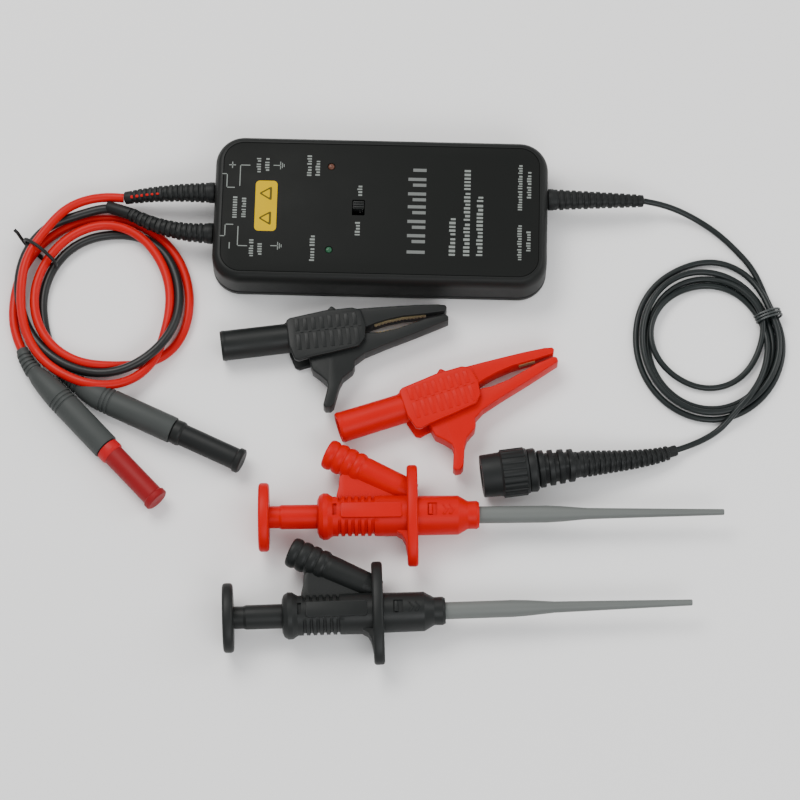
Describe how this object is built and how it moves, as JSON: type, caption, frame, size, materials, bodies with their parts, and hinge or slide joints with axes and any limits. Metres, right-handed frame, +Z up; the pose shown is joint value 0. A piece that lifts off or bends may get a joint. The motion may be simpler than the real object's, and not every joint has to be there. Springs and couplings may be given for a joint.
{
  "type": "oscilloscope probe",
  "caption": "High voltage differential probe: flat black box with range switch, coiled red and black plug leads, BNC cable, alligator clips and hook clips.",
  "frame": {"origin": "middle of the underside of the probe box, on the surface it rests on", "axes": "+Z up, +X along the box towards its output cable, +Y across the box, away from the accessories"},
  "size_m": [0.3495, 0.2442, 0.022],
  "materials": {
    "case_black": "fine moulded texture",
    "face_black": "satin printed sheet",
    "rubber_black": "soft matte rubber",
    "clip_black": "satin",
    "clip_red": "satin",
    "cap_red": "soft satin",
    "lead_red": "silicone",
    "grip_grey": "satin",
    "stem_grey": "satin",
    "coax_grey": "satin",
    "nickel": "polished",
    "brass": "stamped",
    "steel": "plated",
    "board_green": "solder mask",
    "led_amber": "clear domed",
    "led_green": "clear domed",
    "tie_pale": "satin"
  },
  "bodies": {
    "probe_box": {"top_shell": "case_black", "bottom_shell": "case_black", "face_sheet": "face_black", "circuit_board": "board_green", "shield_can": "steel", "range_switch_body": "steel", "power_led": "led_green", "over_range_led": "led_amber", "case_screw_1": "steel", "case_screw_2": "steel", "case_screw_3": "steel", "case_screw_4": "steel", "dc_jack": "case_black", "red_strain_relief": "rubber_black", "black_strain_relief": "rubber_black", "output_strain_relief": "rubber_black", "red_lead_start": "lead_red", "red_lead_end": "lead_red", "black_lead_start": "rubber_black", "black_lead_end": "rubber_black", "lead_coil": "lead_red", "lead_tie": "rubber_black", "coax_start": "coax_grey", "coax_end": "coax_grey", "coax_coil": "coax_grey", "coax_tie": "tie_pale", "red_plug_grip": "grip_grey", "red_plug_shroud": "cap_red", "red_plug_pin": "nickel", "black_plug_grip": "grip_grey", "black_plug_shroud": "clip_black", "black_plug_pin": "nickel", "bnc_boot": "rubber_black", "bnc_shell": "nickel", "bnc_insulator": "tie_pale", "bnc_pin": "brass"},
    "range_switch": {"range_switch_slider": "clip_black"},
    "red_plug_cap": {"red_cap": "cap_red"},
    "black_plug_cap": {"black_cap": "rubber_black"},
    "bnc_lock_collar": {"bnc_collar": "rubber_black"},
    "red_clip": {"red_clip_body": "clip_red", "red_clip_pin": "steel", "red_clip_contact": "brass", "red_clip_spring": "steel"},
    "red_clip_lower_jaw": {"red_clip_jaw": "clip_red"},
    "red_hook": {"red_hook_body": "clip_red", "red_hook_stem": "stem_grey", "red_hook_spring": "steel"},
    "red_hook_pusher": {"red_hook_plunger": "clip_red", "red_hook_wire": "steel"},
    "black_clip": {"black_clip_body": "clip_black", "black_clip_pin": "steel", "black_clip_contact": "brass", "black_clip_spring": "steel"},
    "black_clip_lower_jaw": {"black_clip_jaw": "clip_black"},
    "black_hook": {"black_hook_body": "clip_black", "black_hook_stem": "stem_grey", "black_hook_spring": "steel"},
    "black_hook_pusher": {"black_hook_plunger": "clip_black", "black_hook_wire": "steel"}
  },
  "joints": [
    {"name": "range_switch_slide", "type": "slide", "parent": "probe_box", "child": "range_switch", "axis": [0, -1, 0], "range_m": [0, 0.003]},
    {"name": "bnc_collar_turn", "type": "hinge", "parent": "probe_box", "child": "bnc_lock_collar", "pos_m": [0.0476, -0.122, 0.0108], "axis": [0.9877, 0.1564, 0], "continuous": true},
    {"name": "red_cap_pull", "type": "slide", "parent": "probe_box", "child": "red_plug_cap", "axis": [0.6997, -0.7145, 0], "range_m": [0, 0.026]},
    {"name": "black_cap_pull", "type": "slide", "parent": "probe_box", "child": "black_plug_cap", "axis": [0.9121, -0.4099, 0], "range_m": [0, 0.026]},
    {"name": "red_clip_lift", "type": "slide", "parent": "probe_box", "child": "red_clip", "axis": [0, 0, 1], "range_m": [0, 0.03]},
    {"name": "red_jaw_open", "type": "hinge", "parent": "red_clip", "child": "red_clip_lower_jaw", "pos_m": [0.02921, -0.08684, 0.0071], "axis": [0, 0, -1], "range_deg": [0, 20], "stiffness_Nm_per_rad": 0.4, "springref_deg": -17.19},
    {"name": "red_hook_lift", "type": "slide", "parent": "probe_box", "child": "red_hook", "axis": [0, 0, 1], "range_m": [0, 0.03]},
    {"name": "red_hook_push", "type": "slide", "parent": "red_hook", "child": "red_hook_pusher", "axis": [0.9993, 0.0366, 0], "range_m": [0, 0.01], "stiffness_N_per_m": 300, "springref_m": -0.004, "deforming": ["red_hook_spring"]},
    {"name": "black_clip_lift", "type": "slide", "parent": "probe_box", "child": "black_clip", "axis": [0, 0, 1], "range_m": [0, 0.03]},
    {"name": "black_jaw_open", "type": "hinge", "parent": "black_clip", "child": "black_clip_lower_jaw", "pos_m": [-0.02278, -0.05814, 0.0071], "axis": [0, 0, -1], "range_deg": [0, 20], "stiffness_Nm_per_rad": 0.4, "springref_deg": -17.19},
    {"name": "black_hook_lift", "type": "slide", "parent": "probe_box", "child": "black_hook", "axis": [0, 0, 1], "range_m": [0, 0.03]},
    {"name": "black_hook_push", "type": "slide", "parent": "black_hook", "child": "black_hook_pusher", "axis": [0.9982, 0.0593, 0], "range_m": [0, 0.01], "stiffness_N_per_m": 300, "springref_m": -0.004, "deforming": ["black_hook_spring"]}
  ]
}
